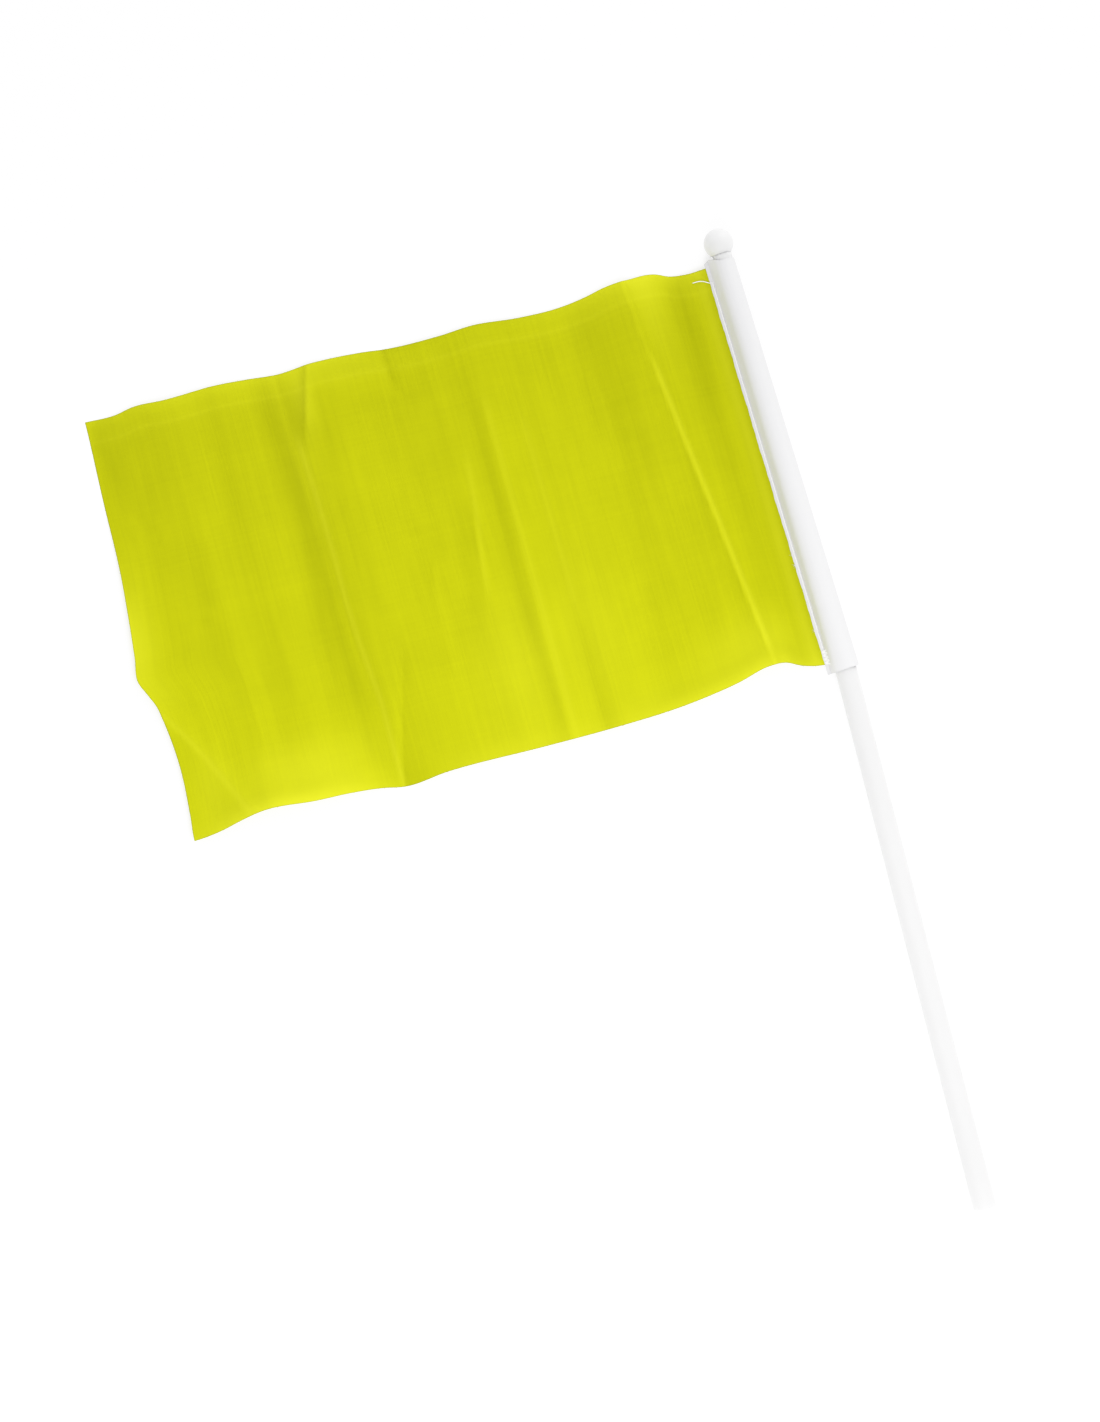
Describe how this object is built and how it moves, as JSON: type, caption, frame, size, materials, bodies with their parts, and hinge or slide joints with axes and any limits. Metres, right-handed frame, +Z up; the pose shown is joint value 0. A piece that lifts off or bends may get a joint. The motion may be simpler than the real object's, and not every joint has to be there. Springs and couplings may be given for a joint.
{
  "type": "hand-waving flag",
  "caption": "Small hand-waving flag: a plain yellow-green cloth panel sewn to a white sleeve that turns on a hollow plug-together plastic pole with a ball on top.",
  "frame": {"origin": "on the table, under the middle of the flag's footprint as it lies", "axes": "+Z up from the table, +Y along the handle from its open end towards the ball, and the cloth spreads towards -X"},
  "size_m": [0.3356, 0.4842, 0.0143],
  "materials": {
    "handle_plastic": "satin white moulded plastic",
    "pole_plastic": "satin white moulded plastic",
    "ball_plastic": "soft gloss white moulded plastic",
    "sleeve_cloth": "plain white polyester weave",
    "panel_cloth": "yellow-green polyester twill with a faint satin sheen",
    "sewing_thread": "white spun polyester thread"
  },
  "bodies": {
    "handle": {"handle_tube": "handle_plastic"},
    "upper_pole": {"upper_tube": "pole_plastic"},
    "finial": {"ball_finial": "ball_plastic"},
    "flag": {"pole_sleeve": "sleeve_cloth", "flag_panel": "panel_cloth", "needle_thread": "sewing_thread", "bobbin_thread": "sewing_thread", "foot_tack": "sewing_thread"}
  },
  "joints": [
    {"name": "pole_joint", "type": "slide", "parent": "handle", "child": "upper_pole", "axis": [0, 1, 0.0035], "range_m": [0, 0.02]},
    {"name": "finial_pull", "type": "slide", "parent": "upper_pole", "child": "finial", "axis": [-0.04, 0.9992, 0.0035], "range_m": [0, 0.014]},
    {"name": "flag_swivel", "type": "hinge", "parent": "upper_pole", "child": "flag", "pos_m": [0.16132, 0.0256, 0.00643], "axis": [-0.04, 0.9992, 0.0035], "continuous": true}
  ]
}
